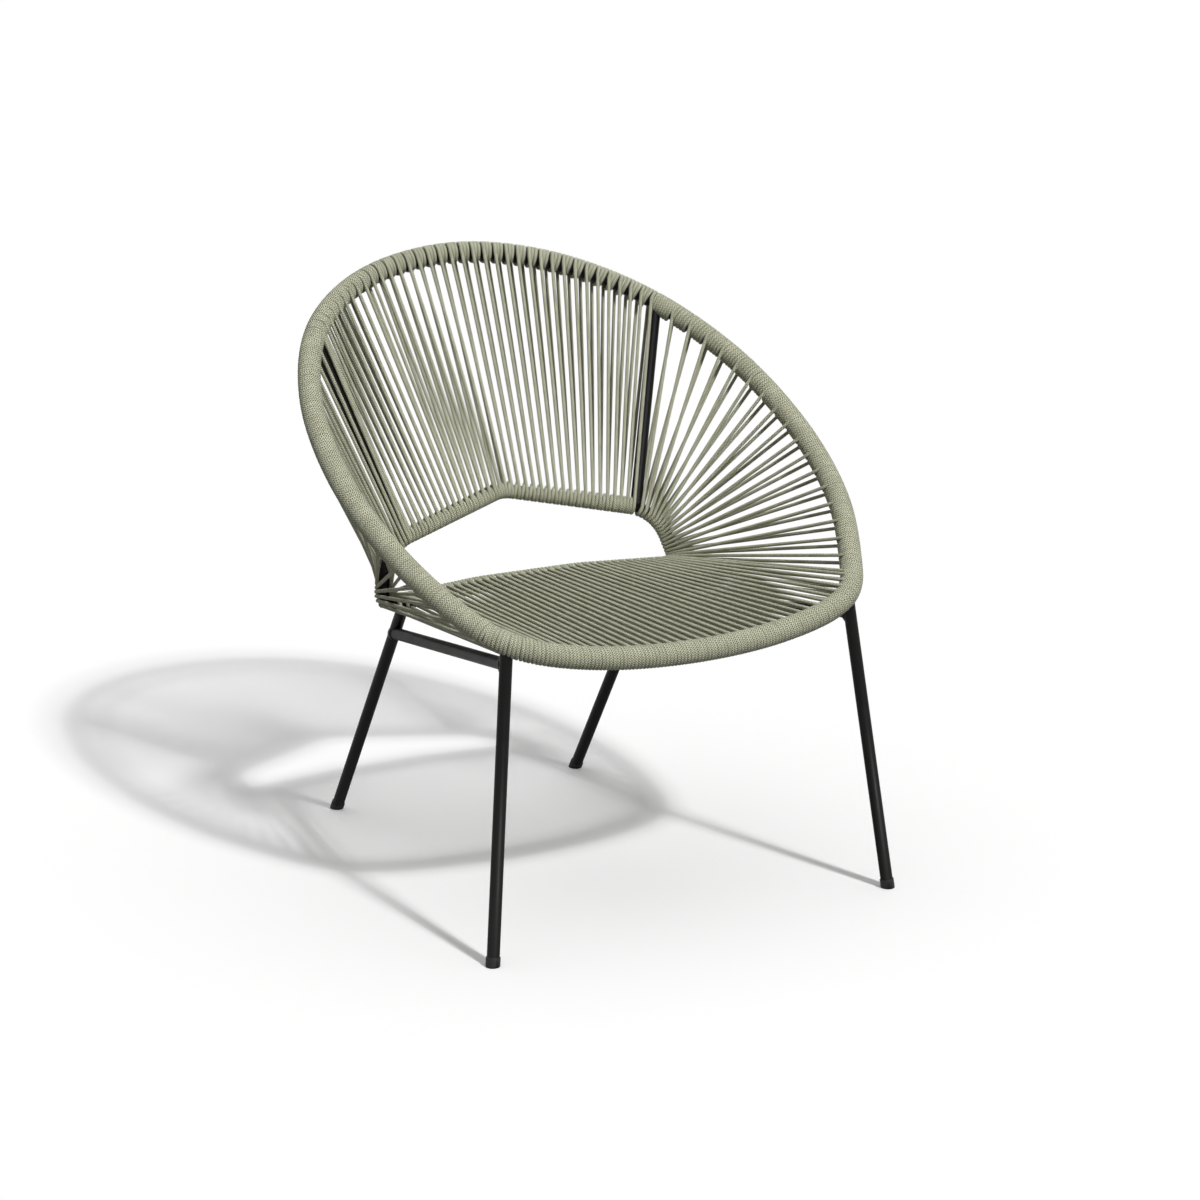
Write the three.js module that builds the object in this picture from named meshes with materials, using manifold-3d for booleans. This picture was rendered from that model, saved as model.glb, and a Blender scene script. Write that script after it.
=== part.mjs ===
// An acapulco-style lounge chair: a rope-wrapped steel hoop and a smaller inner loop, tied together by
// two back struts, stand on four splayed tube legs. Rope is strung in two layers between hoop and loop
// and makes the back, the two sides and the seat.
// Millimetres, +Z up. The origin is on the floor under the middle of the chair, and the chair faces -Y.

import * as THREE from 'three';
import { mergeVertices } from 'three/addons/utils/BufferGeometryUtils.js';
import Module from 'manifold-3d';

const wasm = await Module();
wasm.setup();

// Hoop: the centre line of the steel ring that outlines the whole shell
const hoopWidth = 672;
const hoopDepth = 646;
const hoopFrontHeight = 357;
const hoopRise = 401;
const hoopTubeRadius = 10;

// Inner loop: a seat bar in front that bows back a little, a bar with a bend at the small of the back.
// The depth and the height of the seat bar are those of its ends.
const loopWidth = 449;
const loopDepth = 89.5;
const loopRise = 112.5;
const seatBarBehindMiddle = 95.5;
const seatBarHeight = 346;
const loopTubeRadius = 7;
const backBendRadius = 39;
const shoulderBendRadius = 65;
const seatBendRadius = 13;
const seatBowRadius = 300;

// Legs, side rails and struts share one thin tube
const legTubeRadius = 8;
const frontFootSpread = 578;
const frontFootAhead = 326;
const rearFootSpread = 378;
const rearFootBehind = 320;

// Foot caps: a cup on the end of each leg, flat where it stands
const capWall = 1.2;
const capHeight = 12;
const capFloor = 4;

// Rope and how much of it is strung
const ropeRadius = 2.3;
const backPairs = 35;
const sidePairs = 18;
const seatPairs = 40;
const strandMargin = 7;

// Play that touching pieces keep
const play = 0.3;

// Half of the hoop from the top of the back round to the front, as shares of half its width, of its
// depth measured from the front, and of its rise
const hoopShares = [
  [0, 1, 1],
  [0.396, 0.972, 0.955],
  [0.714, 0.865, 0.845],
  [0.926, 0.678, 0.673],
  [1, 0.467, 0.476],
  [0.958, 0.279, 0.299],
  [0.85, 0.146, 0.163],
  [0.75, 0.068, 0.09],
  [0.628, 0.033, 0.053],
  [0.363, 0.011, 0.014],
  [0, 0, 0],
];
// Corners of the loop between its back bar and its side, and where the seat bar starts to bow, as
// shares of half its width, its depth and its rise
const shoulderShares = [0.909, 0.267, 0.656];
const seatBowShares = [0.338, 0.15, 0.051];

// Where things meet the hoop and the loop, as shares of half their length from the back's middle
const strutOnHoopShare = 0.258;
const legOnHoopShare = 0.783;
const strutOnLoopShare = 0.372;
const sidesEndOnHoopShare = 0.755;
const sidesEndOnLoopShare = 0.565;
const rearLegOnLoopShare = 0.623;
// Where a side rail meets the two legs, as shares of the leg from its foot
const railOnFrontLegShare = 0.937;
const railOnRearLegShare = 0.852;
// How far behind its partner the lower rope of a pair lies, as a share of the pitch
const partnerShare = 0.9;
// Angle round a wrapped tube between the panel's middle surface and where a rope leaves the wrap
const leavingAngle = Math.PI / 4;

// Facets: steps from one hoop point to the next and round a bend, and the sides of each kind of tube
const hoopSteps = 3;
const bendSteps = 4;
const hoopSides = 8;
const wrapSides = 8;
const legSides = 14;
const strandSides = 3;

const ropeDiameter = 2 * ropeRadius;
const hoopWrapRadius = hoopTubeRadius + play + ropeDiameter;
const loopWrapRadius = loopTubeRadius + play + ropeDiameter;

const blackSteel = { color: 0x1d1d1b, roughness: 0.5, metalness: 0.1 };
const blackPlastic = { color: 0x161616, roughness: 0.6, metalness: 0 };
const sageRope = { color: 0xb4b79b, roughness: 0.9, metalness: 0 };

const chair = new THREE.Group();

// Adds one named piece
function addPiece(name, geometry, look) {
  const mesh = new THREE.Mesh(geometry, new THREE.MeshStandardMaterial(look));
  mesh.name = name;
  chair.add(mesh);
}

// Turns a closed geometry into a solid that can be joined and cut
function toSolid(geometry) {
  let shell = geometry.clone();
  shell.deleteAttribute('normal');
  shell.deleteAttribute('uv');
  shell = mergeVertices(shell);
  const vertProperties = new Float32Array(shell.attributes.position.array);
  const triVerts = new Uint32Array(shell.index.array);
  return new wasm.Manifold(new wasm.Mesh({ numProp: 3, vertProperties, triVerts }));
}

// Turns a solid back into a geometry
function toGeometry(solid) {
  const mesh = solid.getMesh();
  const geometry = new THREE.BufferGeometry();
  geometry.setAttribute('position', new THREE.BufferAttribute(mesh.vertProperties, 3));
  geometry.setIndex(new THREE.BufferAttribute(mesh.triVerts, 1));
  geometry.computeVertexNormals();
  return geometry;
}

// A copy of a geometry on the other side of the chair
function mirrored(geometry) {
  const copy = geometry.clone();
  const position = copy.attributes.position;
  for (let i = 0; i < position.count; i += 1) {
    position.setX(i, -position.getX(i));
  }
  const index = copy.index.array;
  for (let i = 0; i < index.length; i += 3) {
    const second = index[i + 1];
    index[i + 1] = index[i + 2];
    index[i + 2] = second;
  }
  copy.computeVertexNormals();
  return copy;
}

// A line through stations, measured along its length. A closed one goes on past its end.
class Route {
  constructor(stations, closed = false) {
    this.closed = closed;
    this.stations = closed ? [...stations, stations[0]] : stations;
    this.lengths = [0];
    for (let i = 1; i < this.stations.length; i += 1) {
      this.lengths.push(this.lengths[i - 1] + this.stations[i].distanceTo(this.stations[i - 1]));
    }
    this.total = this.lengths[this.lengths.length - 1];
  }

  // The run that a distance along the route falls in, and how far into it
  locate(distance) {
    const rest = this.closed ? THREE.MathUtils.euclideanModulo(distance, this.total) : distance;
    let run = 0;
    while (run < this.lengths.length - 2 && this.lengths[run + 1] < rest) run += 1;
    const share = (rest - this.lengths[run]) / (this.lengths[run + 1] - this.lengths[run]);
    return { run, share };
  }

  at(distance) {
    const { run, share } = this.locate(distance);
    return this.stations[run].clone().lerp(this.stations[run + 1], share);
  }

  // Direction of travel
  direction(distance) {
    return this.at(distance + ropeRadius).sub(this.at(distance - ropeRadius)).normalize();
  }

  // The stretch between two distances, as a route of its own. Stations too near its ends are left out.
  part(from, to) {
    const inside = [];
    for (const turn of [-1, 0, 1]) {
      for (let i = 0; i < this.lengths.length - 1; i += 1) {
        const distance = this.lengths[i] + turn * this.total;
        if (distance > from + legTubeRadius && distance < to - legTubeRadius) {
          inside.push(this.stations[i]);
        }
      }
    }
    return new Route([this.at(from), ...inside, this.at(to)]);
  }
}

// A three.js curve that passes through every station of a route in equal steps
class StationCurve extends THREE.Curve {
  constructor(route, startDirection = null, endDirection = null) {
    super();
    this.stations = route.stations;
    this.startDirection = startDirection;
    this.endDirection = endDirection;
  }

  getPoint(t) {
    const last = this.stations.length - 1;
    const run = Math.min(Math.floor(t * last + 1e-6), last - 1);
    return this.stations[run].clone().lerp(this.stations[run + 1], t * last - run);
  }

  getPointAt(u) {
    return this.getPoint(u);
  }

  getTangentAt(u) {
    const last = this.stations.length - 1;
    const i = Math.round(u * last);
    if (i === 0 && this.startDirection) return this.startDirection.clone();
    if (i === last && this.endDirection) return this.endDirection.clone();
    const before = this.stations[Math.max(i - 1, 0)];
    const after = this.stations[Math.min(i + 1, last)];
    return after.clone().sub(before).normalize();
  }
}

// A round tube along a route
function tubeAlong(route, radius, sides, startDirection, endDirection) {
  const outline = [];
  for (let i = 0; i < sides; i += 1) {
    const angle = (2 * Math.PI * i) / sides;
    outline.push(new THREE.Vector2(radius * Math.cos(angle), radius * Math.sin(angle)));
  }
  return new THREE.ExtrudeGeometry(new THREE.Shape(outline), {
    steps: route.stations.length - 1,
    bevelEnabled: false,
    extrudePath: new StationCurve(route, startDirection, endDirection),
  });
}

// A whole ring from the tube along its right half: the caps on the middle plane are dropped and the
// half is joined to its mirror image
function ringFromHalf(halfRoute, radius, sides) {
  const right = new THREE.Vector3(1, 0, 0);
  const left = new THREE.Vector3(-1, 0, 0);
  const half = tubeAlong(halfRoute, radius, sides, right, left);
  const points = half.attributes.position;
  const near = ropeRadius * 1e-3;
  const corners = [];
  for (let i = 0; i < points.count; i += 3) {
    const triangle = [0, 1, 2].map((k) => new THREE.Vector3().fromBufferAttribute(points, i + k));
    for (const p of triangle) {
      if (Math.abs(p.x) < near) p.x = 0;
    }
    if (triangle.every((p) => p.x === 0)) continue;
    const flipped = triangle.map((p) => new THREE.Vector3(-p.x, p.y, p.z)).reverse();
    corners.push(...triangle, ...flipped);
  }
  return toSolid(new THREE.BufferGeometry().setFromPoints(corners));
}

// A straight round bar between two points
function bar(from, to, radius, sides) {
  const axis = to.clone().sub(from);
  const geometry = new THREE.CylinderGeometry(radius, radius, axis.length(), sides);
  const up = new THREE.Vector3(0, 1, 0);
  geometry.applyQuaternion(new THREE.Quaternion().setFromUnitVectors(up, axis.normalize()));
  const middle = from.clone().lerp(to, 0.5);
  geometry.translate(middle.x, middle.y, middle.z);
  return toSolid(geometry);
}

// The hoop's centre line, from the top of the back round the right side, the front and the left side
function hoopRoute() {
  const half = hoopShares.map(([x, y, z]) => new THREE.Vector3(
    (x * hoopWidth) / 2,
    (y - 1 / 2) * hoopDepth,
    hoopFrontHeight + z * hoopRise,
  ));
  const otherHalf = half.slice(1, -1).reverse().map((p) => new THREE.Vector3(-p.x, p.y, p.z));
  const line = new THREE.CatmullRomCurve3([...half, ...otherHalf], true, 'centripetal');
  return new Route(line.getPoints(line.points.length * hoopSteps).slice(0, -1), true);
}

// An arc that rounds the corner between two straight runs
function roundedCorner(before, corner, after, radius) {
  const inward = before.clone().sub(corner).normalize();
  const outward = after.clone().sub(corner).normalize();
  const halfAngle = inward.angleTo(outward) / 2;
  const toCentre = inward.clone().add(outward).normalize();
  const centre = corner.clone().addScaledVector(toCentre, radius / Math.sin(halfAngle));
  const start = corner.clone().addScaledVector(inward, radius / Math.tan(halfAngle)).sub(centre);
  const end = corner.clone().addScaledVector(outward, radius / Math.tan(halfAngle)).sub(centre);
  const turn = start.angleTo(end);
  const arc = [];
  for (let i = 0; i <= bendSteps; i += 1) {
    const share = i / bendSteps;
    const p = start.clone().multiplyScalar(Math.sin((1 - share) * turn) / Math.sin(turn));
    arc.push(p.addScaledVector(end, Math.sin(share * turn) / Math.sin(turn)).add(centre));
  }
  return arc;
}

// The inner loop's centre line, from the bend at the back round the right side and along the seat bar
function loopRoute() {
  const [shoulderX, shoulderY, shoulderZ] = shoulderShares;
  const [bowX, bowY, bowZ] = seatBowShares;
  const place = (x, y, z) => new THREE.Vector3(
    (x * loopWidth) / 2,
    seatBarBehindMiddle + y * loopDepth,
    seatBarHeight + z * loopRise,
  );
  const back = place(0, 1, 1);
  const shoulder = place(shoulderX, shoulderY, shoulderZ);
  const seatCorner = place(1, 0, 0);
  const otherShoulder = place(-shoulderX, shoulderY, shoulderZ);
  const bow = place(bowX, bowY, bowZ);
  const seatMiddle = place(0, bowY, bowZ);
  const backArc = roundedCorner(otherShoulder, back, shoulder, backBendRadius);
  const half = [
    ...backArc.slice(bendSteps / 2),
    ...roundedCorner(back, shoulder, seatCorner, shoulderBendRadius),
    ...roundedCorner(shoulder, seatCorner, bow, seatBendRadius),
    ...roundedCorner(seatCorner, bow, seatMiddle, seatBowRadius),
    seatMiddle,
  ];
  const otherHalf = half.slice(1, -1).reverse().map((p) => new THREE.Vector3(-p.x, p.y, p.z));
  return new Route([...half, ...otherHalf], true);
}

const hoopLine = hoopRoute();
const loopLine = loopRoute();
const halfHoop = hoopLine.total / 2;
const halfLoop = loopLine.total / 2;
const hoopHalfRoute = hoopLine.part(0, halfHoop);
const loopHalfRoute = loopLine.part(0, halfLoop);

const hoop = ringFromHalf(hoopHalfRoute, hoopTubeRadius, hoopSides);
const loop = ringFromHalf(loopHalfRoute, loopTubeRadius, hoopSides);
const hoopWithPlay = ringFromHalf(hoopHalfRoute, hoopTubeRadius + play, hoopSides);
const loopWithPlay = ringFromHalf(loopHalfRoute, loopTubeRadius + play, hoopSides);

addPiece('hoop', toGeometry(hoop), blackSteel);
addPiece('inner_loop', toGeometry(loop), blackSteel);

// A back strut, from the hoop to the shoulder of the loop
const strutTop = hoopLine.at(strutOnHoopShare * halfHoop);
const strutFoot = loopLine.at(strutOnLoopShare * halfLoop);
const strut = bar(strutFoot, strutTop, legTubeRadius, legSides)
  .subtract(hoopWithPlay)
  .subtract(loopWithPlay);

// Everything under a level, as one block
function blockUnder(level) {
  const block = new THREE.BoxGeometry(2 * hoopWidth, 2 * hoopDepth, hoopRise);
  block.translate(0, 0, level - hoopRise / 2);
  return toSolid(block);
}

// A leg's tube, cut level inside its cap, and the same tube with play round it
function leg(foot, top, radius, level) {
  return bar(foot, top, radius, legSides).subtract(blockUnder(level));
}

// A cap: a cup round the end of a leg, cut flat at the floor
function footCap(foot, top) {
  const axis = top.clone().sub(foot).normalize();
  const below = foot.clone().addScaledVector(axis, -capHeight);
  const above = foot.clone().addScaledVector(axis, capHeight);
  return bar(below, above, legTubeRadius + play + capWall, legSides)
    .subtract(leg(foot, top, legTubeRadius + play, capFloor))
    .subtract(blockUnder(0));
}

// The legs: each runs straight from its cap to the hoop or to the seat bar
const frontFoot = new THREE.Vector3(frontFootSpread / 2, -frontFootAhead, 0);
const rearFoot = new THREE.Vector3(rearFootSpread / 2, rearFootBehind, 0);
const frontLegTop = hoopLine.at(legOnHoopShare * halfHoop);
const rearLegTop = loopLine.at(rearLegOnLoopShare * halfLoop);
const frontLeg = leg(frontFoot, frontLegTop, legTubeRadius, capFloor + play).subtract(hoopWithPlay);
const rearLeg = leg(rearFoot, rearLegTop, legTubeRadius, capFloor + play).subtract(loopWithPlay);

// The side rail, from the front leg to the rear leg
const railFront = frontFoot.clone().lerp(frontLegTop, railOnFrontLegShare);
const railRear = rearFoot.clone().lerp(rearLegTop, railOnRearLegShare);
const rail = bar(railFront, railRear, legTubeRadius, legSides)
  .subtract(leg(frontFoot, frontLegTop, legTubeRadius + play, 0))
  .subtract(leg(rearFoot, rearLegTop, legTubeRadius + play, 0));

// The thin tubes of the right side with play round them, for the ropes to pass
const rightTubes = bar(strutFoot, strutTop, legTubeRadius + play, legSides)
  .add(leg(frontFoot, frontLegTop, legTubeRadius + play, 0))
  .add(leg(rearFoot, rearLegTop, legTubeRadius + play, 0))
  .add(bar(railFront, railRear, legTubeRadius + play, legSides));
const leftTubes = toSolid(mirrored(toGeometry(rightTubes)));

// Where a rope leaves a wrapped tube: within the wrap's wall, on the side that it is strung to
function leavingPoint(line, distance, run, side, wrapRadius) {
  const sideways = run.clone().cross(line.direction(distance)).normalize();
  const ahead = line.direction(distance).cross(sideways).normalize();
  const depth = wrapRadius - ropeRadius;
  return line.at(distance)
    .addScaledVector(sideways, side * depth * Math.sin(leavingAngle))
    .addScaledVector(ahead, depth * Math.cos(leavingAngle));
}

// One rope of a pair, on the sitter's side of the panel or on its far side
function strand(hoopDistance, loopDistance, side) {
  const run = loopLine.at(loopDistance).sub(hoopLine.at(hoopDistance)).normalize();
  const onHoop = leavingPoint(hoopLine, hoopDistance, run, side, hoopWrapRadius);
  const back = run.clone().negate();
  const onLoop = leavingPoint(loopLine, loopDistance, back, -side, loopWrapRadius);
  return bar(onHoop, onLoop, ropeRadius, strandSides);
}

// The turns of rope round a stretch of the hoop or the loop, as one sleeve
function wrap(line, span, radius) {
  const [from, to] = span;
  const part = line.part(from + play, to - play);
  return toSolid(tubeAlong(part, radius, wrapSides, line.direction(from), line.direction(to)));
}

// A panel of rope: the turns round a stretch of the hoop and of the loop, and the pairs between them.
// The far rope of each pair lies almost behind the near one of the next pair.
function ropePanel(hoopSpan, loopSpan, pairs) {
  let ropes = wrap(hoopLine, hoopSpan, hoopWrapRadius).add(wrap(loopLine, loopSpan, loopWrapRadius));
  for (let i = 0; i < pairs; i += 1) {
    for (const side of [1, -1]) {
      const share = (i + (1 - side * partnerShare) / 2) / pairs;
      const hoopDistance = THREE.MathUtils.lerp(
        hoopSpan[0] + strandMargin,
        hoopSpan[1] - strandMargin,
        share,
      );
      const loopDistance = THREE.MathUtils.lerp(
        loopSpan[0] + strandMargin,
        loopSpan[1] - strandMargin,
        share,
      );
      ropes = ropes.add(strand(hoopDistance, loopDistance, side));
    }
  }
  return ropes
    .subtract(hoopWithPlay)
    .subtract(loopWithPlay)
    .subtract(rightTubes)
    .subtract(leftTubes);
}

const strutOnHoop = strutOnHoopShare * halfHoop;
const sidesEndOnHoop = sidesEndOnHoopShare * halfHoop;
const strutOnLoop = strutOnLoopShare * halfLoop;
const sidesEndOnLoop = sidesEndOnLoopShare * halfLoop;

const backRopes = ropePanel([-strutOnHoop, strutOnHoop], [-strutOnLoop, strutOnLoop], backPairs);
const sideRopes = ropePanel([strutOnHoop, sidesEndOnHoop], [strutOnLoop, sidesEndOnLoop], sidePairs);
const seatRopes = ropePanel(
  [sidesEndOnHoop, hoopLine.total - sidesEndOnHoop],
  [sidesEndOnLoop, loopLine.total - sidesEndOnLoop],
  seatPairs,
);

addPiece('back_ropes', toGeometry(backRopes), sageRope);
addPiece('seat_ropes', toGeometry(seatRopes), sageRope);

// The pieces that the chair has on both sides
const sidePieces = [
  ['back_strut', strut, blackSteel],
  ['front_leg', frontLeg, blackSteel],
  ['rear_leg', rearLeg, blackSteel],
  ['side_rail', rail, blackSteel],
  ['front_foot_cap', footCap(frontFoot, frontLegTop), blackPlastic],
  ['rear_foot_cap', footCap(rearFoot, rearLegTop), blackPlastic],
  ['side_ropes', sideRopes, sageRope],
];
for (const [name, solid, look] of sidePieces) {
  const geometry = toGeometry(solid);
  addPiece(`right_${name}`, geometry, look);
  addPiece(`left_${name}`, mirrored(geometry), look);
}

export default chair;
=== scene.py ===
# %% [markdown]
# # A round rope chair
# The chair is a black steel frame with a shell of wound and strung rope. This lesson dresses the
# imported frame: it keeps every size and place of the model and makes smooth steel, real turns of rope
# and the finishes. Everything is in metres, +Z is up and the sitter looks along -Y.

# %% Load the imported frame
import math

import bmesh
import bpy
import numpy as np
from mathutils import Matrix, Vector


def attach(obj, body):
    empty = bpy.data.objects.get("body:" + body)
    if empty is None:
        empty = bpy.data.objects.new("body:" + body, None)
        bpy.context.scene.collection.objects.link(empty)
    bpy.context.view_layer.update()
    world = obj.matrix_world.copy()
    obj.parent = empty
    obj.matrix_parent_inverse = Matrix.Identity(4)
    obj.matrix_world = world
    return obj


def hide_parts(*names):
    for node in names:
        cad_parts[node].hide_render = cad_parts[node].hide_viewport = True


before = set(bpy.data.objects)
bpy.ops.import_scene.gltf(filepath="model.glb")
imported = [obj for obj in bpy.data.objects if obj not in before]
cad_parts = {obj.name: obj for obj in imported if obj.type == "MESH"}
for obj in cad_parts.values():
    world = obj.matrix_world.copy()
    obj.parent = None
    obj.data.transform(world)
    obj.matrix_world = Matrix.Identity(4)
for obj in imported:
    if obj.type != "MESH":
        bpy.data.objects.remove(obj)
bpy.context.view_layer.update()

# %% [markdown]
# ## The camera
# The photograph was taken with a long lens from in front of the chair's left corner, from well above
# the seat. Left and right are those of a viewer who stands in front. A camera matches it when its
# place, its direction and its lens match, so these are set first, and every later piece can then be
# compared with the photograph.

# %% Camera
PHOTO_PIXELS = 1200
SENSOR = 36.0
camera_place = Vector((-2.1613, -3.8574, 1.5246))
looks_at = Vector((0.0, -0.0510, 0.4002))
focal_pixels = 3503
# Where the lens's axis meets the photograph, in pixels from its left and its top
axis_pixel = (588.1, 568.6)

camera_data = bpy.data.cameras.new("camera")
camera_data.sensor_width = SENSOR
camera_data.lens = focal_pixels * SENSOR / PHOTO_PIXELS
camera_data.shift_x = (PHOTO_PIXELS / 2 - axis_pixel[0]) / PHOTO_PIXELS
camera_data.shift_y = -(PHOTO_PIXELS / 2 - axis_pixel[1]) / PHOTO_PIXELS
camera_data.clip_end = 100
camera = bpy.data.objects.new("camera", camera_data)
camera.location = camera_place
camera.rotation_mode = "QUATERNION"
camera.rotation_quaternion = (looks_at - camera_place).to_track_quat("-Z", "Y")
bpy.context.scene.collection.objects.link(camera)
bpy.context.scene.camera = camera
print(f"Lens {camera_data.lens:.1f} mm, shift {camera_data.shift_x:.4f}, {camera_data.shift_y:.4f}")

# %% [markdown]
# ## Floor and light
# The floor is a large pale sheet. A high lamp in front of the chair throws its shadow backwards: a
# narrow core draws the ropes' fine shadows and a wider halo softens those of the high parts. A very
# wide lamp overhead shades the floor under the seat, and a weak even sky fills the rest. Together
# they light a surface that faces them at about the level at which a colour renders as it is written.

# %% Floor and light
# Each lamp: its strength, the width of its disc in degrees and the direction in which it shines
lamps = {
    "front_core": (0.55, 1.4, Vector((-0.13, 1.0, -1.0))),
    "front_halo": (1.9, 6.5, Vector((-0.13, 1.0, -1.0))),
    "overhead": (1.0, 80.0, Vector((0.0, -0.06, -1.0))),
}
SKY_STRENGTH = 0.12
FLOOR_HALF = 30.0

floor_data = bpy.data.meshes.new("floor")
floor_mesh = bmesh.new()
bmesh.ops.create_grid(floor_mesh, x_segments=1, y_segments=1, size=FLOOR_HALF)
floor_mesh.to_mesh(floor_data)
floor_mesh.free()
floor = bpy.data.objects.new("floor", floor_data)
bpy.context.scene.collection.objects.link(floor)

for name, (strength, disc, shines) in lamps.items():
    lamp_data = bpy.data.lights.new(name, "SUN")
    lamp_data.energy = strength
    lamp_data.angle = math.radians(disc)
    lamp = bpy.data.objects.new(name, lamp_data)
    lamp.rotation_mode = "QUATERNION"
    lamp.rotation_quaternion = shines.to_track_quat("-Z", "Y")
    bpy.context.scene.collection.objects.link(lamp)
bpy.context.scene.view_settings.view_transform = "Standard"
print(f"A floor {2 * FLOOR_HALF:.0f} m wide and {len(lamps)} lamps")

# %% [markdown]
# ## Shader maths in Python
# A pattern such as a braid is a formula. Written as nodes it is hard to read, so a small class wraps
# a socket and turns Python's operators into Math nodes. Every other node comes from one method.


# %% Shader helper
class Value:
    """A socket of a node tree that can be used in sums."""

    def __init__(self, tree, socket):
        self.tree = tree
        self.socket = socket

    def math(self, operation, *others):
        return self.tree.node("ShaderNodeMath", {"operation": operation}, [self, *others])

    def __add__(self, other):
        return self.math("ADD", other)

    def __radd__(self, other):
        return self.math("ADD", other)

    def __sub__(self, other):
        return self.math("SUBTRACT", other)

    def __rsub__(self, other):
        return self.tree.node("ShaderNodeMath", {"operation": "SUBTRACT"}, [other, self])

    def __mul__(self, other):
        return self.math("MULTIPLY", other)

    def __rmul__(self, other):
        return self.math("MULTIPLY", other)


class Finish:
    """A material that starts with a Principled shader."""

    def __init__(self, name):
        self.material = bpy.data.materials.new(name)
        self.material.use_nodes = True
        self.tree = self.material.node_tree
        self.shader = self.tree.nodes["Principled BSDF"]

    def node(self, kind, settings, inputs, output=0):
        made = self.tree.nodes.new(kind)
        for key, setting in settings.items():
            if key == "stops":
                self.set_stops(made.color_ramp, setting)
            else:
                setattr(made, key, setting)
        pairs = inputs.items() if isinstance(inputs, dict) else enumerate(inputs)
        for key, given in pairs:
            self.feed(made.inputs[key], given)
        return Value(self, made.outputs[output])

    def set_stops(self, ramp, stops):
        while len(ramp.elements) < len(stops):
            ramp.elements.new(1)
        for element, (place, colour) in zip(ramp.elements, stops):
            element.position = place
            element.color = (*colour, 1)

    def feed(self, socket, given):
        if isinstance(given, Value):
            self.tree.links.new(given.socket, socket)
        else:
            socket.default_value = given

    def set(self, **inputs):
        for key, given in inputs.items():
            self.feed(self.shader.inputs[key.replace("_", " ")], given)


def display(red, green, blue):
    """A colour picked on the screen, 0 to 255, as the linear values that a shader takes."""
    levels = []
    for level in (red, green, blue):
        share = level / 255
        levels.append(share / 12.92 if share <= 0.04045 else ((share + 0.055) / 1.055) ** 2.4)
    return tuple(levels)


print(f"Half way up the screen's scale is {display(128, 128, 128)[0]:.2f} of full light")

# %% [markdown]
# ## Sky and floor finish
# The photograph has a white ground that only the chair's shadow darkens. More light would make the
# ground white but bleach the chair, so the camera is shown a white sky and a nearly white floor,
# while the chair itself gets a weak sky and a dim bounce. The Light Path node tells the two apart.

# %% Sky and floor finish
world = bpy.data.worlds.new("sky")
bpy.context.scene.world = world
world.use_nodes = True
sky = world.node_tree
background = sky.nodes["Background"]
background.inputs["Color"].default_value = (1, 1, 1, 1)
paths = sky.nodes.new("ShaderNodeLightPath")
seen = sky.nodes.new("ShaderNodeMath")
seen.operation = "MAXIMUM"
sky.links.new(paths.outputs["Is Camera Ray"], seen.inputs[0])
sky.links.new(paths.outputs["Is Glossy Ray"], seen.inputs[1])
level = sky.nodes.new("ShaderNodeMapRange")
level.inputs["To Min"].default_value = SKY_STRENGTH
level.inputs["To Max"].default_value = 1.0
sky.links.new(seen.outputs[0], level.inputs["Value"])
sky.links.new(level.outputs["Result"], background.inputs["Strength"])

# What the camera sees is a pale floor that also glows a little, and what the chair sees is darker
FLOOR_GLOW = 0.08
FLOOR_COLOUR = 0.94
FLOOR_BOUNCE = 0.22
pale = Finish("pale_floor")
floor_paths = pale.tree.nodes.new("ShaderNodeLightPath")
floor_seen = Value(pale, floor_paths.outputs["Is Camera Ray"]).math(
    "MAXIMUM", Value(pale, floor_paths.outputs["Is Glossy Ray"])
)
pale.set(
    Base_Color=floor_seen * (FLOOR_COLOUR - FLOOR_BOUNCE) + FLOOR_BOUNCE,
    Emission_Color=floor_seen * FLOOR_GLOW,
    Emission_Strength=1.0,
    Roughness=0.9,
    Specular_IOR_Level=0.0,
)
floor_data.materials.append(pale.material)
print(f"The floor is {FLOOR_COLOUR} pale to the camera and {FLOOR_BOUNCE} to the chair")

# %% [markdown]
# ## Black powder coat
# The tubes have a thin coat of black powder paint. Up close it has the faint dimples of orange peel
# and a satin gloss that varies a little. Noise on Object coordinates makes both, since the tubes are
# plain and need no unwrapping.

# %% Black powder coat and black plastic
coat = Finish("black_powder_coat")
coat_place = coat.node("ShaderNodeTexCoord", {}, [], output="Object")
peel = coat.node("ShaderNodeTexNoise", {}, {"Vector": coat_place, "Scale": 900.0, "Detail": 2.0})
cloud = coat.node("ShaderNodeTexNoise", {}, {"Vector": coat_place, "Scale": 35.0, "Detail": 3.0})
coat_tint = coat.node(
    "ShaderNodeValToRGB",
    {"stops": [(0.3, display(14, 14, 14)), (0.7, display(19, 19, 18))]},
    [cloud],
)
coat_bump = coat.node(
    "ShaderNodeBump", {}, {"Strength": 0.25, "Distance": 0.0002, "Height": peel}, output="Normal"
)
coat.set(
    Base_Color=coat_tint,
    Roughness=cloud * 0.18 + 0.36,
    Specular_IOR_Level=0.12,
    Normal=coat_bump,
)

plastic = Finish("black_plastic")
plastic_place = plastic.node("ShaderNodeTexCoord", {}, [], output="Object")
grain = plastic.node(
    "ShaderNodeTexNoise", {}, {"Vector": plastic_place, "Scale": 1600.0, "Detail": 3.0}
)
plastic_bump = plastic.node(
    "ShaderNodeBump", {}, {"Strength": 0.4, "Distance": 0.0002, "Height": grain}, output="Normal"
)
plastic.set(
    Base_Color=(*display(24, 24, 24), 1),
    Roughness=grain * 0.15 + 0.55,
    Specular_IOR_Level=0.3,
    Normal=plastic_bump,
)
print("Black finishes:", coat.material.name, "and", plastic.material.name)

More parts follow.
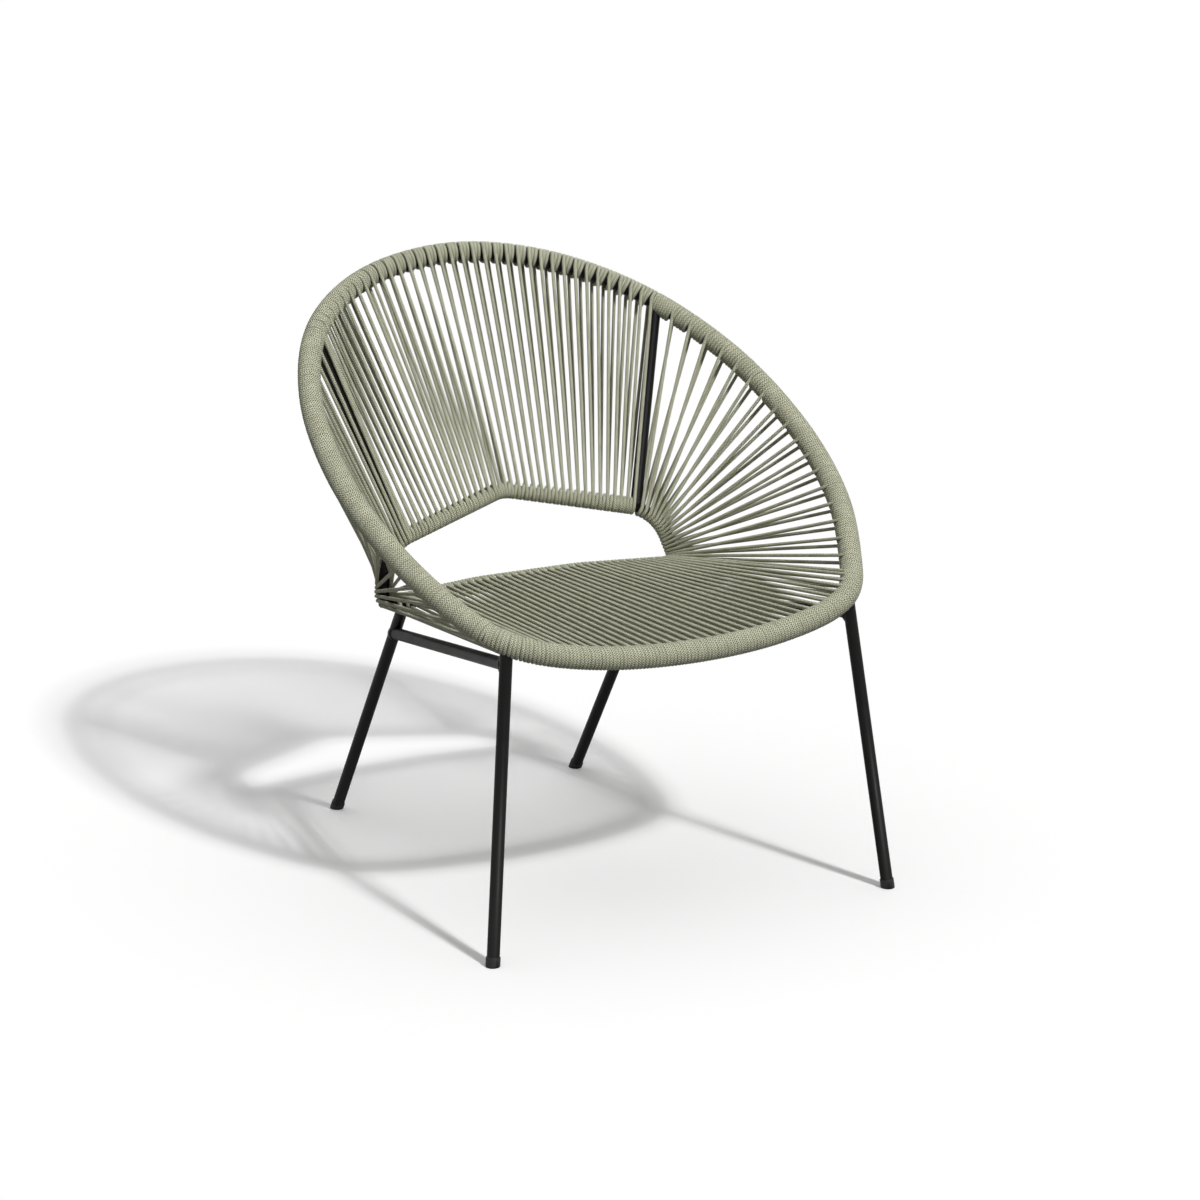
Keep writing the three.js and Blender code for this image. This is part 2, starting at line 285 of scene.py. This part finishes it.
# %% [markdown]
# ## Braided rope
# The rope is a round braid of thin yarns. Each rope mesh has a UV map with the length along the rope
# in metres on U and one turn round it on V, so two families of slanted lines on it are the yarns that
# run each way. Where they cross, one lies on top: the higher of the two waves is the surface. The
# yarn's colour is a heathered sage with paler and darker fibres, and painted shade darkens the grooves
# between the yarns while their crowns are painted lighter.

# %% Braided rope
ROPE_RADIUS = 0.0024
YARNS = 8
BRAID_PITCH = 0.011

rope = Finish("sage_rope")
rope_map = rope.node("ShaderNodeUVMap", {"uv_map": "rope"}, [])
split = rope.tree.nodes.new("ShaderNodeSeparateXYZ")
rope.tree.links.new(rope_map.socket, split.inputs[0])
along = Value(rope, split.outputs["X"])
around = Value(rope, split.outputs["Y"])
to_angle = math.pi * YARNS
one_way = (along * (to_angle / BRAID_PITCH) + around * to_angle).math("SINE")
other_way = (along * (to_angle / BRAID_PITCH) - around * to_angle).math("SINE")
braid = one_way.math("MAXIMUM", other_way)
rope_place = rope.node("ShaderNodeTexCoord", {}, [], output="Object")
fibres = rope.node("ShaderNodeTexNoise", {}, {"Vector": rope_place, "Scale": 1500.0, "Detail": 2.0})
patches = rope.node("ShaderNodeTexNoise", {}, {"Vector": rope_place, "Scale": 60.0, "Detail": 3.0})
height = braid * 0.8 + fibres * 0.5
# The braid's share of this tone is painted shade: the grooves between the yarns are painted dark and
# their crowns light. The fibres and patches are the yarn's own uneven tone.
groove_shade_and_fibre_tone = braid * 0.36 + fibres * 0.52 + patches * 0.14
# The dark stop is the rope's shaded colour, which the braid paints into the grooves.
rope_tint = rope.node(
    "ShaderNodeValToRGB",
    {
        "stops": [
            (0.32, display(84, 86, 64)),
            (0.52, display(176, 177, 150)),
            (0.7, display(232, 232, 208)),
        ]
    },
    [groove_shade_and_fibre_tone],
)
rope_bump = rope.node(
    "ShaderNodeBump", {}, {"Strength": 0.9, "Distance": 0.0004, "Height": height}, output="Normal"
)
rope.set(
    Base_Color=rope_tint,
    Roughness=0.85,
    Specular_IOR_Level=0.2,
    Sheen_Weight=0.12,
    Sheen_Roughness=0.5,
    Normal=rope_bump,
)
print(f"{YARNS} yarns on a {2000 * ROPE_RADIUS:.1f} mm rope, once round in {1000 * BRAID_PITCH:.0f} mm")

# %% [markdown]
# ## The frame's centre lines
# The hoop is one bent tube: a ring that rises at the back and narrows at the front. The inner loop is
# a smaller bent tube, whose seat bar bows back a little. Both are described here by the few points
# or corners that a tube bender would use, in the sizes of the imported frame.

# %% Sizes of the frame
# Widths, depths, heights and bend radii of the two bent tubes, then the tubes' own radii
HOOP_WIDTH = 0.672
HOOP_DEPTH = 0.646
HOOP_FRONT_HEIGHT = 0.357
HOOP_RISE = 0.401
LOOP_WIDTH = 0.449
LOOP_DEPTH = 0.0895
LOOP_RISE = 0.1125
SEAT_BAR_BEHIND = 0.0955
SEAT_BAR_HEIGHT = 0.346
BACK_BEND = 0.039
SHOULDER_BEND = 0.065
SEAT_BEND = 0.013
SEAT_BOW = 0.300
HOOP_TUBE = 0.010
LOOP_TUBE = 0.007
LEG_TUBE = 0.008

# Half of the hoop from the top of the back to the front, as shares of half its width, its depth and
# its rise
hoop_shares = [
    (0, 1, 1),
    (0.396, 0.972, 0.955),
    (0.714, 0.865, 0.845),
    (0.926, 0.678, 0.673),
    (1, 0.467, 0.476),
    (0.958, 0.279, 0.299),
    (0.85, 0.146, 0.163),
    (0.75, 0.068, 0.09),
    (0.628, 0.033, 0.053),
    (0.363, 0.011, 0.014),
    (0, 0, 0),
]
# Where the loop's shoulder bends and where its seat bar starts to bow
shoulder_shares = (0.909, 0.267, 0.656)
seat_bow_shares = (0.338, 0.15, 0.051)
print(f"Hoop {1000 * HOOP_WIDTH:.0f} by {1000 * HOOP_DEPTH:.0f} mm from middle to middle of its tube")


# %% A line that can be measured along its length
# How far to either side of a place its direction is read
READ_REACH = 0.004


class Line:
    """A closed line through many close points, with distances measured along it in metres."""

    def __init__(self, points):
        self.points = np.array([*points, points[0]], float)
        steps = np.linalg.norm(np.diff(self.points, axis=0), axis=1)
        self.lengths = np.concatenate([[0.0], np.cumsum(steps)])
        self.total = self.lengths[-1]

    def at(self, distance):
        wrapped = np.mod(distance, self.total)
        axes = [np.interp(wrapped, self.lengths, self.points[:, axis]) for axis in range(3)]
        return np.stack(axes, axis=-1)

    def direction(self, distance):
        distance = np.asarray(distance)
        return unit(self.at(distance + READ_REACH) - self.at(distance - READ_REACH))


def unit(vectors):
    return vectors / np.linalg.norm(vectors, axis=-1, keepdims=True)


def eased(start, end, leave, arrive, t):
    """The cubic from start to end with the given slopes at both, at the share t of the way."""
    cubic = (2 * start - 2 * end + leave + arrive) * t**3
    return cubic + (3 * end - 3 * start - 2 * leave - arrive) * t**2 + leave * t + start


# %% Hoop centre line
STEPS_TO_CORNER = 24


def smooth_ring(corners):
    """Points on the centripetal Catmull-Rom curve through a ring of corners."""
    corners = np.array(corners, float)
    count = len(corners)
    ring = []
    for i in range(count):
        p0, p1, p2, p3 = (corners[(i + k) % count] for k in (-1, 0, 1, 2))
        d0, d1, d2 = (math.sqrt(np.linalg.norm(b - a)) for a, b in ((p0, p1), (p1, p2), (p2, p3)))
        leave = ((p1 - p0) / d0 - (p2 - p0) / (d0 + d1) + (p2 - p1) / d1) * d1
        arrive = ((p2 - p1) / d1 - (p3 - p1) / (d1 + d2) + (p3 - p2) / d2) * d1
        for t in np.arange(STEPS_TO_CORNER) / STEPS_TO_CORNER:
            ring.append(eased(p1, p2, leave, arrive, t))
    return ring


half_ring = [
    (x * HOOP_WIDTH / 2, (y - 0.5) * HOOP_DEPTH, HOOP_FRONT_HEIGHT + z * HOOP_RISE)
    for x, y, z in hoop_shares
]
other_half_ring = [(-x, y, z) for x, y, z in half_ring[-2:0:-1]]
hoop_line = Line(smooth_ring(half_ring + other_half_ring))
half_hoop = hoop_line.total / 2
print(f"The hoop is {1000 * hoop_line.total:.0f} mm round")


# %% Inner loop centre line
STEPS_IN_BEND = 12


def rounded_corner(before, corner, after, radius):
    """An arc that rounds the corner between two straight runs."""
    before, corner, after = (np.array(p, float) for p in (before, corner, after))
    inward = unit(before - corner)
    outward = unit(after - corner)
    half_angle = math.acos(np.clip(inward @ outward, -1, 1)) / 2
    centre = corner + unit(inward + outward) * radius / math.sin(half_angle)
    start = corner + inward * radius / math.tan(half_angle) - centre
    end = corner + outward * radius / math.tan(half_angle) - centre
    turn = math.pi - 2 * half_angle
    arc = []
    for share in np.linspace(0, 1, STEPS_IN_BEND + 1):
        arc.append(
            centre
            + start * math.sin((1 - share) * turn) / math.sin(turn)
            + end * math.sin(share * turn) / math.sin(turn)
        )
    return arc


def loop_place(x, y, z):
    return (
        x * LOOP_WIDTH / 2,
        SEAT_BAR_BEHIND + y * LOOP_DEPTH,
        SEAT_BAR_HEIGHT + z * LOOP_RISE,
    )


shoulder_x, shoulder_y, shoulder_z = shoulder_shares
bow_x, bow_y, bow_z = seat_bow_shares
loop_back = loop_place(0, 1, 1)
right_shoulder = loop_place(shoulder_x, shoulder_y, shoulder_z)
left_shoulder = loop_place(-shoulder_x, shoulder_y, shoulder_z)
right_seat_corner = loop_place(1, 0, 0)
right_seat_bow = loop_place(bow_x, bow_y, bow_z)
seat_middle = loop_place(0, bow_y, bow_z)
back_arc = rounded_corner(left_shoulder, loop_back, right_shoulder, BACK_BEND)
half_loop_points = [
    *back_arc[len(back_arc) // 2 :],
    *rounded_corner(loop_back, right_shoulder, right_seat_corner, SHOULDER_BEND),
    *rounded_corner(right_shoulder, right_seat_corner, right_seat_bow, SEAT_BEND),
    *rounded_corner(right_seat_corner, right_seat_bow, seat_middle, SEAT_BOW),
    np.array(seat_middle),
]
other_half_loop = [p * (-1, 1, 1) for p in half_loop_points[-2:0:-1]]
loop_line = Line(half_loop_points + other_half_loop)
half_loop = loop_line.total / 2
print(f"The inner loop is {1000 * loop_line.total:.0f} mm round")

# %% [markdown]
# ## Steel tubes
# A bent tube is a row of rings along its centre line, bridged into a skin. `create_circle` places
# each ring square to the line, and `bridge_loops` joins two neighbours, so the section stays round
# through every bend.


# %% Tube helper
TUBE_SIDES = 28


def new_piece(name, mesh, material, slot, replaces):
    """Puts a finished mesh into the scene as a piece that rides on the chair."""
    for polygon in mesh.polygons:
        polygon.use_smooth = True
    mesh.materials.append(material)
    piece = bpy.data.objects.new(name, mesh)
    bpy.context.scene.collection.objects.link(piece)
    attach(piece, "root")
    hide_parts(*replaces)
    print(f"{name}: {len(mesh.polygons)} faces in {slot}, instead of {', '.join(replaces)}")
    return piece


def ring_matrix(place, direction, upright, wide=1.0, tall=1.0):
    """The place of a ring that is square to a direction. Its Y axis lies near upright."""
    z_axis = Vector(direction).normalized()
    x_axis = Vector(upright).cross(z_axis).normalized()
    y_axis = z_axis.cross(x_axis)
    turned = Matrix((x_axis * wide, y_axis * tall, z_axis)).transposed().to_4x4()
    return Matrix.Translation(Vector(place)) @ turned


def add_ring(shape, matrix, radius):
    made = bmesh.ops.create_circle(
        shape, cap_ends=False, segments=TUBE_SIDES, radius=radius, matrix=matrix
    )
    return list({edge for vert in made["verts"] for edge in vert.link_edges})


def add_tube(shape, matrices, radius, closed=False):
    """Rings bridged into a tube. An open tube gets its two end faces."""
    rings = [add_ring(shape, matrix, radius) for matrix in matrices]
    following = rings[1:] + (rings[:1] if closed else [])
    for ring, next_ring in zip(rings, following):
        bmesh.ops.bridge_loops(shape, edges=ring + next_ring)
    if not closed:
        for ring in (rings[0], rings[-1]):
            bmesh.ops.contextual_create(shape, geom=ring)
    bmesh.ops.recalc_face_normals(shape, faces=shape.faces)


def finished_mesh(name, shape):
    mesh = bpy.data.meshes.new(name)
    shape.to_mesh(mesh)
    shape.free()
    return mesh


# %% Hoop and inner loop
RINGS_IN_LINE = 120
# Roughly square to both bent tubes, so that their rings don't twist
SHELL_AXIS = (0, 0.34, 0.94)


def bent_ring(name, line, radius, node):
    shape = bmesh.new()
    matrices = []
    for distance in np.arange(RINGS_IN_LINE) / RINGS_IN_LINE * line.total:
        travel = line.direction(distance)
        matrices.append(ring_matrix(line.at(distance), travel, np.cross(travel, SHELL_AXIS)))
    add_tube(shape, matrices, radius, closed=True)
    return new_piece(name, finished_mesh(name, shape), coat.material, "steel_frame", [node])


bent_ring("steel_hoop", hoop_line, HOOP_TUBE, "hoop")
bent_ring("steel_inner_loop", loop_line, LOOP_TUBE, "inner_loop")

# %% [markdown]
# ## Struts, legs and rails
# These are straight tubes that end on another tube, where the real ones are welded. Each is a row of
# rings too, and its last rings swell a little, which reads as the weld's fillet. A rail meets the
# front leg in a deeper, rounded corner.

# %% Where the straight tubes meet the hoop and the loop
STRUT_ON_HOOP = 0.258 * half_hoop
LEG_ON_HOOP = 0.783 * half_hoop
STRUT_ON_LOOP = 0.372 * half_loop
REAR_LEG_ON_LOOP = 0.623 * half_loop
RAIL_ON_FRONT_LEG_SHARE = 0.937
RAIL_ON_REAR_LEG_SHARE = 0.852
front_foot = Vector((0.289, -0.326, 0))
rear_foot = Vector((0.189, 0.320, 0))
CAP_HEIGHT = 0.012
CAP_WALL = 0.0011
CAP_FLOOR = 0.004

strut_top = Vector(hoop_line.at(STRUT_ON_HOOP))
strut_end = Vector(loop_line.at(STRUT_ON_LOOP))
front_leg_top = Vector(hoop_line.at(LEG_ON_HOOP))
rear_leg_top = Vector(loop_line.at(REAR_LEG_ON_LOOP))
rail_front = front_foot.lerp(front_leg_top, RAIL_ON_FRONT_LEG_SHARE)
rail_rear = rear_foot.lerp(rear_leg_top, RAIL_ON_REAR_LEG_SHARE)
print(f"A strut is {1000 * (strut_top - strut_end).length:.0f} mm long")
print(f"A rail is {1000 * (rail_rear - rail_front).length:.0f} mm long")


# %% Straight tube with welded ends
# Where a weld has its rings, as shares of its reach
WELD_STEPS = (0.0, 0.12, 0.3, 0.55, 1.0)


def straight_tube(start, end, start_weld, end_weld, upright):
    """A tube whose ends swell into the given fillets. A fillet is (how far it reaches along the
    tube from the other tube's surface, how far it spreads along upright, how far across)."""
    shape = bmesh.new()
    axis = (end - start).normalized()
    length = (end - start).length
    matrices = []
    stations = [0.0]
    for share in WELD_STEPS:
        stations.append(LEG_TUBE + share * start_weld[0])
    for share in reversed(WELD_STEPS):
        stations.append(length - LEG_TUBE - share * end_weld[0])
    stations.append(length)
    for station in stations:
        tall = wide = 1.0
        for weld, distance in ((start_weld, station), (end_weld, length - station)):
            reach, spread, across = weld
            share = min(max((distance - LEG_TUBE) / reach, 0), 1) if reach else 1
            swell = 1 - math.sqrt(1 - (1 - share) ** 2)
            tall += swell * spread / LEG_TUBE
            wide += swell * across / LEG_TUBE
        matrices.append(ring_matrix(start + axis * station, axis, upright, wide, tall))
    add_tube(shape, matrices, LEG_TUBE)
    return shape


def add_both_sides(name, make, material, slot, node):
    """The right piece and its mirror image, the left one."""
    for side in ("right", "left"):
        shape = make()
        if side == "left":
            bmesh.ops.scale(shape, vec=(-1, 1, 1), verts=shape.verts)
            bmesh.ops.reverse_faces(shape, faces=shape.faces)
        mesh = finished_mesh(f"{side}_{name}", shape)
        new_piece(f"{side}_{name}", mesh, material, slot, [f"{side}_{node}"])


# Fillets as straight_tube takes them
bead = (0.003, 0.0016, 0.0016)
gusset = (0.008, 0.006, 0.0)
no_weld = (0.0, 0.0, 0.0)
leg_axis = front_leg_top - front_foot


def cut_level(shape, height):
    """Cuts away what lies below a height, closes the cut and returns the new face."""
    cut = bmesh.ops.bisect_plane(
        shape,
        geom=[*shape.verts, *shape.edges, *shape.faces],
        plane_co=(0, 0, height),
        plane_no=(0, 0, 1),
        clear_inner=True,
    )
    rim = [part for part in cut["geom_cut"] if isinstance(part, bmesh.types.BMEdge)]
    made = bmesh.ops.contextual_create(shape, geom=rim)
    bmesh.ops.recalc_face_normals(shape, faces=shape.faces)
    return made["faces"][0]


def make_strut():
    return straight_tube(strut_end, strut_top, bead, bead, (1, 0, 0))


def make_rail():
    return straight_tube(rail_front, rail_rear, gusset, bead, leg_axis)


def make_leg(foot, top):
    shape = straight_tube(foot, top, no_weld, bead, (1, 0, 0))
    cut_level(shape, CAP_FLOOR)
    return shape


steel = (coat.material, "steel_frame")
legs = {"front": (front_foot, front_leg_top), "rear": (rear_foot, rear_leg_top)}
add_both_sides("back_tube", make_strut, *steel, "back_strut")
add_both_sides("rail_tube", make_rail, *steel, "side_rail")
for end, leg_ends in legs.items():
    add_both_sides(f"{end}_leg_tube", lambda: make_leg(*leg_ends), *steel, f"{end}_leg")

# %% [markdown]
# ## Foot caps
# Each leg stands in a small moulded cup with a rounded lip and a rounded sole. The cup's outline is
# spun round the leg's axis and then cut level with the floor.


# %% Foot caps
CAP_SIDES = 32
MERGED = 1e-5


def make_cap(foot, top):
    axis = (top - foot).normalized()
    shape = bmesh.new()
    outer = LEG_TUBE + CAP_WALL
    lip = CAP_WALL / 2
    outline = [
        (LEG_TUBE, CAP_HEIGHT - lip),
        (LEG_TUBE + lip / 2, CAP_HEIGHT),
        (outer - lip / 2, CAP_HEIGHT),
        (outer, CAP_HEIGHT - lip),
        (outer, 0.0),
        (outer, -CAP_HEIGHT / 2),
    ]
    turned = ring_matrix(foot, axis, (1, 0, 0))
    verts = [shape.verts.new(turned @ Vector((radius, 0, height))) for radius, height in outline]
    edges = [shape.edges.new(pair) for pair in zip(verts, verts[1:])]
    bmesh.ops.spin(
        shape,
        geom=verts + edges,
        cent=foot,
        axis=axis,
        angle=2 * math.pi,
        steps=CAP_SIDES,
        use_merge=True,
    )
    bmesh.ops.remove_doubles(shape, verts=shape.verts, dist=MERGED)
    sole = cut_level(shape, 0)
    bmesh.ops.bevel(
        shape,
        geom=list(sole.edges),
        offset=CAP_WALL,
        segments=3,
        profile=0.5,
        affect="EDGES",
        material=-1,
    )
    return shape


for end, leg_ends in legs.items():
    add_both_sides(
        f"{end}_cap", lambda: make_cap(*leg_ends), plastic.material, "foot_caps", f"{end}_foot_cap"
    )

# %% [markdown]
# ## Winding the rope
# A maker ties the rope on at the end of a panel. It comes up to the hoop on the sitter's side, goes
# round the hoop for a few turns, drops down the far side to the loop, goes under it and comes up
# again. So one long line makes the turns and both layers. The line is worked out here pass by pass: a
# pass is the distance along a tube at which the rope crosses the tube's near or far side. In the back
# the turns sit snug against the strand that they start from, which leaves a dark notch before the
# next one.

# %% Passes of the rope round a tube
HALF_TURN_STEPS = 10
STRAND_STEPS = 6
# From one turn to the next where they touch, and how far a turn's place on the hoop varies
SNUG_PITCH = 0.0049
TURN_WOBBLE = 0.00012
# The gap between the rope and the steel, and how much wider a turn is on its outer side
EASE = 0.0001
SPREAD = 0.15
# A round-off that gives the loop's turns a little more room than the hoop's
LOOP_ROUND_OFF = 0.2
TIED_OFF_PASSES = 4
hoop_winding = HOOP_TUBE + ROPE_RADIUS + EASE
loop_winding = LOOP_TUBE + ROPE_RADIUS + EASE
dice = np.random.default_rng(7)
print(f"The rope winds {1000 * hoop_winding:.1f} mm from the middle of the hoop's tube")


def smooth_between(values, spots):
    """A smooth curve through equally spaced values, read at spots between them."""
    before = np.minimum(spots.astype(int), len(values) - 2)
    t = spots - before
    slopes = np.gradient(values)
    after = before + 1
    return eased(values[before], values[after], slopes[before], slopes[after], t)


def wound(line, radius, first_half, distances, run_at, outer):
    """Rope round a tube through its passes, each half a turn on from the one before. The half turns
    count down from first_half, and an even one is on the sitter's side. The last column is the rope's
    width, which is greater on the outer side, where the pull flattens the turns against each other."""
    count = len(distances)
    spots = np.linspace(0, count - 1, HALF_TURN_STEPS * (count - 1) + 1)
    angles = math.pi * (first_half - spots)
    places = smooth_between(distances, spots)
    travel = line.direction(places)
    across = unit(np.cross(run_at(places), travel))
    ahead = np.cross(travel, across)
    spokes = across * np.cos(angles)[:, None] + ahead * np.sin(angles)[:, None]
    widths = 1 + SPREAD * np.clip(outer * np.sin(angles), 0, 1)
    return np.column_stack([line.at(places) + radius * spokes, widths])


def interleaved(near, far):
    return np.stack([near, far], axis=1).ravel()


def hoop_passes(place, pitch, leaves, notched, wobble):
    """Near and far passes from one near strand to where its rope drops down the far side, which is
    the share leaves of the way to the next near strand. In a notched panel the turns sit snug against
    the strand that they start from, in any other they fill the pitch."""
    turns = max(round(abs(pitch) / SNUG_PITCH), 1)
    even = pitch / turns
    snug = math.copysign(SNUG_PITCH, pitch) if notched and abs(even) > SNUG_PITCH else even
    count = np.arange(turns)
    near = place + count * snug
    near[1:] += wobble * dice.normal(size=turns - 1)
    return interleaved(near, place + leaves * pitch + (count - turns + 1) * even)


def loop_passes(place, pitch, arrives):
    """Far and near passes from where a far strand arrives to the next near strand."""
    turns = max(round(abs(pitch) / SNUG_PITCH - LOOP_ROUND_OFF), 1)
    count = np.arange(turns)
    near = place + (count + 1) * pitch / turns
    return interleaved(place + arrives * pitch + count * pitch / turns, near)


# %% One panel's rope line
def rope_line(hoop_places, loop_places, leaves, arrives, notched=False, starts_on_hoop=False):
    """The whole line of a panel's rope. The places are where its near strands meet the hoop and the
    loop. A line that starts on the hoop leaves the first of them to the panel before it. The last
    strand is tied off on the hoop after a few passes."""

    def matching(distances, places, other_places):
        order = np.argsort(places)
        return np.interp(distances, places[order], other_places[order])

    def run_from_hoop(distances):
        return loop_line.at(matching(distances, hoop_places, loop_places)) - hoop_line.at(distances)

    def run_to_loop(distances):
        return loop_line.at(distances) - hoop_line.at(matching(distances, loop_places, hoop_places))

    hoop_pitches = np.diff(hoop_places)
    leaves = np.broadcast_to(leaves, hoop_pitches.shape)
    loop_pitches = np.diff(loop_places)
    pieces = []
    if not starts_on_hoop:
        rise = np.array([loop_places[0] - loop_pitches[0] / 2, loop_places[0]])
        pieces.append(wound(loop_line, loop_winding, 1, rise, run_to_loop, 1))
    for i, (hoop_pitch, loop_pitch) in enumerate(zip(hoop_pitches, loop_pitches)):
        passes = hoop_passes(hoop_places[i], hoop_pitch, leaves[i], notched, TURN_WOBBLE)
        skipped = 1 if starts_on_hoop and i == 0 else 0
        pieces.append(
            wound(hoop_line, hoop_winding, -skipped, passes[skipped:], run_from_hoop, -1)
        )
        passes = loop_passes(loop_places[i], loop_pitch, arrives)
        pieces.append(wound(loop_line, loop_winding, 1, passes, run_to_loop, 1))
    last = hoop_passes(hoop_places[-1], hoop_pitches[-1], leaves[-1], notched, 0)
    pieces.append(wound(hoop_line, hoop_winding, 0, last[:TIED_OFF_PASSES], run_from_hoop, -1))

    joined = [pieces[0]]
    for piece in pieces[1:]:
        start, end = joined[-1][-1], piece[0]
        shares = np.linspace(0, 1, STRAND_STEPS + 1)[1:-1, None]
        joined.append(start + (end - start) * shares)
        joined.append(piece)
    return np.concatenate(joined)


# %% [markdown]
# ## From a line to a rope
# A curve with a round bevel follows a line without twisting, and a radius for each of its points lets
# the turns spread. The finished rope is turned into a mesh, because the braid needs a UV map that
# measures the real length along the rope, whatever the spacing of the points.

# %% From a line to a rope
ROPE_SIDES = 8


def rope_piece(name, line, replaces):
    """A rope mesh along a line, with its length on U and one turn round it on V."""
    curve = bpy.data.curves.new(name, "CURVE")
    curve.dimensions = "3D"
    curve.bevel_depth = ROPE_RADIUS
    curve.bevel_resolution = ROPE_SIDES // 2 - 2
    spline = curve.splines.new("POLY")
    spline.points.add(len(line) - 1)
    spline.points.foreach_set("co", line.astype(np.float32).ravel())
    spline.points.foreach_set("radius", line[:, 3].astype(np.float32))
    holder = bpy.data.objects.new(f"{name}_line", curve)
    bpy.context.scene.collection.objects.link(holder)
    bpy.context.view_layer.update()
    evaluated = holder.evaluated_get(bpy.context.evaluated_depsgraph_get())
    mesh = bpy.data.meshes.new_from_object(evaluated)
    mesh.name = name
    bpy.data.objects.remove(holder)
    steps = np.linalg.norm(np.diff(line[:, :3], axis=0), axis=1)
    lengths = np.concatenate([[0.0], np.cumsum(steps)])
    assert len(mesh.vertices) == len(lengths) * ROPE_SIDES
    write_rope_map(mesh, lengths)
    close_ends(mesh)
    print(f"{name}: {len(lengths)} steps, about {lengths[-1]:.1f} m of rope")
    return new_piece(name, mesh, rope.material, "rope", replaces)


def write_rope_map(mesh, lengths):
    """UV: the distance along the rope, and the share of a turn round it."""
    corners = np.zeros(len(mesh.loops), np.int32)
    mesh.loops.foreach_get("vertex_index", corners)
    along_rope = lengths[corners // ROPE_SIDES]
    round_rope = (corners % ROPE_SIDES) / ROPE_SIDES
    quads = round_rope.reshape(-1, 4)
    crosses_seam = np.ptp(quads, axis=1) > 0.5
    quads[crosses_seam] += quads[crosses_seam] < 0.5
    layer = mesh.uv_layers[0]
    layer.name = "rope"
    places = np.stack([along_rope, round_rope], axis=1)
    layer.data.foreach_set("uv", places.astype(np.float32).ravel())


def close_ends(mesh):
    shape = bmesh.new()
    shape.from_mesh(mesh)
    rims = [edge for edge in shape.edges if edge.is_boundary]
    bmesh.ops.holes_fill(shape, edges=rims, sides=ROPE_SIDES)
    bmesh.ops.recalc_face_normals(shape, faces=shape.faces)
    shape.to_mesh(mesh)
    shape.free()


# %% [markdown]
# ## The four panels
# The back is strung between the struts, a fan on each side runs from a strut to the front, and the
# seat joins the two fans. The photograph shows 35 pairs in the back, 18 in the right fan and about 40
# in the seat. The left fan is mostly hidden there and mirrors the right one. The strands sit a little
# unevenly, as strands do that were drawn tight one after the other, so each panel shifts them by a
# small share of their spacing.

# %% Where each panel's strands go
BACK_PAIRS = 35
SIDE_PAIRS = 18
SEAT_PAIRS = 40
SIDES_END_ON_HOOP = 0.755 * half_hoop
SIDES_END_ON_LOOP = 0.565 * half_loop
# From a strut's middle to the back's outer strand, and to the left side's first
BACK_FROM_STRUT = 0.005
LEFT_FROM_STRUT = 0.001
SETTLED_AFTER = 3


def strand_places(start, end, pairs, shift, bulge):
    """Places of the near strands of a panel. They are evenly spaced, then moved on by a share of the
    pitch: the shift, plus the bulge in the middle of the panel. The outer ones stay in place, and the
    full move is reached a few strands in."""
    index = np.arange(pairs + 1)
    share = index / pairs
    settled = np.clip(np.minimum(index, pairs - index) / SETTLED_AFTER, 0, 1)
    moved = settled * (shift + bulge * 4 * share * (1 - share))
    return start + (end - start) * (index + moved) / pairs


def mirrored(line):
    return line * (-1, 1, 1, 1)


# The share of a pitch at which the far strands of the back start, at some of its strands
leave_strands = [0, 6, 8, 10, 18, 24, 28, 34]
leave_shares = [0.9, 0.2, 0.4, 0.9, 1.0, 0.85, 0.65, 0.5]
back_hoop_half = STRUT_ON_HOOP - BACK_FROM_STRUT
back_loop_half = STRUT_ON_LOOP - BACK_FROM_STRUT
back_line = rope_line(
    strand_places(-back_hoop_half, back_hoop_half, BACK_PAIRS, shift=0, bulge=0),
    strand_places(-back_loop_half, back_loop_half, BACK_PAIRS, shift=0.25, bulge=0.4),
    leaves=np.interp(np.arange(BACK_PAIRS), leave_strands, leave_shares),
    arrives=0.5,
    notched=True,
)


def side_line(from_strut, starts_on_hoop):
    hoop_start = STRUT_ON_HOOP + from_strut
    return rope_line(
        strand_places(hoop_start, SIDES_END_ON_HOOP, SIDE_PAIRS, shift=0.05, bulge=-0.25),
        strand_places(STRUT_ON_LOOP, SIDES_END_ON_LOOP, SIDE_PAIRS, shift=0.5, bulge=0.5),
        leaves=0.83,
        arrives=0.8,
        starts_on_hoop=starts_on_hoop,
    )


# The left side's first strand lies on the front of its strut, the right side starts behind it
right_side_line = side_line(0, starts_on_hoop=True)
left_side_line = mirrored(side_line(LEFT_FROM_STRUT, starts_on_hoop=False))

# The seat's rope runs from left to right, and its outer strands are half a pitch from the sides' last
seat_shares = 1 - (np.arange(SEAT_PAIRS) + 0.5) / SEAT_PAIRS
seat_line = rope_line(
    SIDES_END_ON_HOOP + seat_shares * (hoop_line.total - 2 * SIDES_END_ON_HOOP),
    SIDES_END_ON_LOOP + seat_shares * (loop_line.total - 2 * SIDES_END_ON_LOOP),
    leaves=0.91,
    arrives=0.8,
)

rope_piece("back_rope", back_line, ["back_ropes"])
rope_piece("right_side_rope", right_side_line, ["right_side_ropes"])
rope_piece("left_side_rope", left_side_line, ["left_side_ropes"])
rope_piece("seat_rope", seat_line, ["seat_ropes"])
